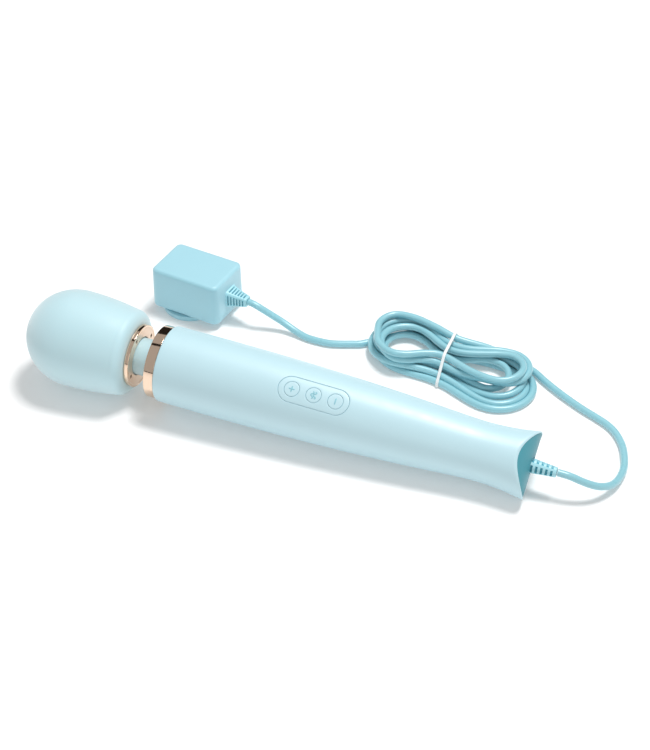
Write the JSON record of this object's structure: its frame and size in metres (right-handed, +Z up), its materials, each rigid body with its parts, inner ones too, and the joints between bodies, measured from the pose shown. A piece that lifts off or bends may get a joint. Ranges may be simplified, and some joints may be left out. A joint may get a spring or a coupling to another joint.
{
  "type": "handheld wand massager",
  "caption": "Corded wand massager: round soft head on a flexing neck, tapered handle with push buttons and a flared tail, lead in a tied hank, wall adapter.",
  "frame": {"origin": "on the surface that the wand lies on, under the middle of the wand's own box", "axes": "+X along the wand from its head to its tail, +Y towards the side where the lead and the adapter lie, +Z up"},
  "size_m": [0.3818, 0.1537, 0.0621],
  "materials": {
    "head_silicone": "soft satin silicone, pale blue",
    "neck_sleeve": "smooth elastomer, pale blue",
    "rose_gold": "polished rose gold",
    "handle_plastic": "pearly satin paint, pale blue",
    "button_plastic": "satin moulded plastic, pale blue",
    "tail_plastic": "satin moulded plastic, blue",
    "cord_sheath": "satin flexible sheath, light blue",
    "strain_relief": "soft moulded sheath, light blue",
    "tie": "white coated wire tie",
    "adapter_plastic": "fine satin moulded plastic, light blue",
    "steel": "plain steel",
    "brass": "bright brass",
    "inner_rubber": "black rubber",
    "circuit_board": "green solder mask",
    "component_black": "black component body",
    "inner_nylon": "light grey nylon"
  },
  "bodies": {
    "handle": {"neck_rear_plug": "inner_nylon", "neck_sleeve_rear": "neck_sleeve", "handle_ring": "rose_gold", "neck_socket": "inner_nylon", "handle_shell_upper": "handle_plastic", "handle_shell_lower": "handle_plastic", "tail_plate": "tail_plastic", "button_panel": "handle_plastic", "button_pad": "inner_rubber", "control_board": "circuit_board", "board_carrier": "inner_nylon", "board_screw_1": "steel", "board_screw_2": "steel", "switch_plus": "component_black", "switch_pattern": "component_black", "switch_minus": "component_black", "driver_chip": "component_black", "board_capacitor": "component_black", "power_connector": "inner_nylon", "motor_wires": "inner_rubber", "cord_clamp": "inner_nylon", "handle_strain_relief": "strain_relief", "power_lead_inner": "cord_sheath", "adapter_cover": "adapter_plastic", "adapter_base": "adapter_plastic", "adapter_plug_socket": "adapter_plastic", "adapter_contact_1": "brass", "adapter_contact_2": "brass", "adapter_board": "circuit_board", "adapter_transformer": "component_black", "adapter_capacitor": "component_black", "adapter_strain_relief": "strain_relief", "cord_handle_lead": "cord_sheath", "cord_hank": "cord_sheath", "hank_tie": "tie", "cord_adapter_lead": "cord_sheath"},
    "neck": {"neck_bush": "inner_rubber"},
    "head": {"head_cap": "head_silicone", "head_core_front": "inner_nylon", "head_core_rear": "inner_nylon", "head_ring": "rose_gold", "head_ring_screw_1": "steel", "head_ring_screw_2": "steel", "head_ring_screw_3": "steel", "head_ring_screw_4": "steel", "motor_can": "steel", "motor_bush": "brass", "motor_mount_front": "inner_rubber", "motor_mount_rear": "inner_rubber", "neck_front_plug": "inner_nylon", "neck_sleeve_front": "neck_sleeve"},
    "rotor": {"motor_shaft": "steel", "eccentric_weight": "steel"},
    "plus_button": {"button_plus": "button_plastic"},
    "pattern_button": {"button_pattern": "button_plastic"},
    "minus_button": {"button_minus": "button_plastic"}
  },
  "joints": [
    {"name": "neck_tilt", "type": "hinge", "parent": "handle", "child": "neck", "pos_m": [-0.07773, 0, 0.02884], "axis": [0.0225, 0.8329, 0.5529], "range_deg": [-15, 15], "stiffness_Nm_per_rad": 9, "deforming": ["neck_sleeve_rear"]},
    {"name": "neck_sway", "type": "hinge", "parent": "neck", "child": "head", "pos_m": [-0.08812, 0, 0.02926], "axis": [0.0339, -0.5534, 0.8322], "range_deg": [-15, 15], "stiffness_Nm_per_rad": 9, "deforming": ["neck_sleeve_front"]},
    {"name": "rotor_spin", "type": "hinge", "parent": "head", "child": "rotor", "pos_m": [-0.14587, 0, 0.03162], "axis": [0.9992, 0, -0.0407], "continuous": true},
    {"name": "plus_press", "type": "slide", "parent": "handle", "child": "plus_button", "axis": [-0.0339, 0.5534, -0.8322], "range_m": [0, 0.0007], "stiffness_N_per_m": 900},
    {"name": "pattern_press", "type": "slide", "parent": "handle", "child": "pattern_button", "axis": [-0.0339, 0.5534, -0.8322], "range_m": [0, 0.0007], "stiffness_N_per_m": 900},
    {"name": "minus_press", "type": "slide", "parent": "handle", "child": "minus_button", "axis": [-0.0339, 0.5534, -0.8322], "range_m": [0, 0.0007], "stiffness_N_per_m": 900}
  ]
}
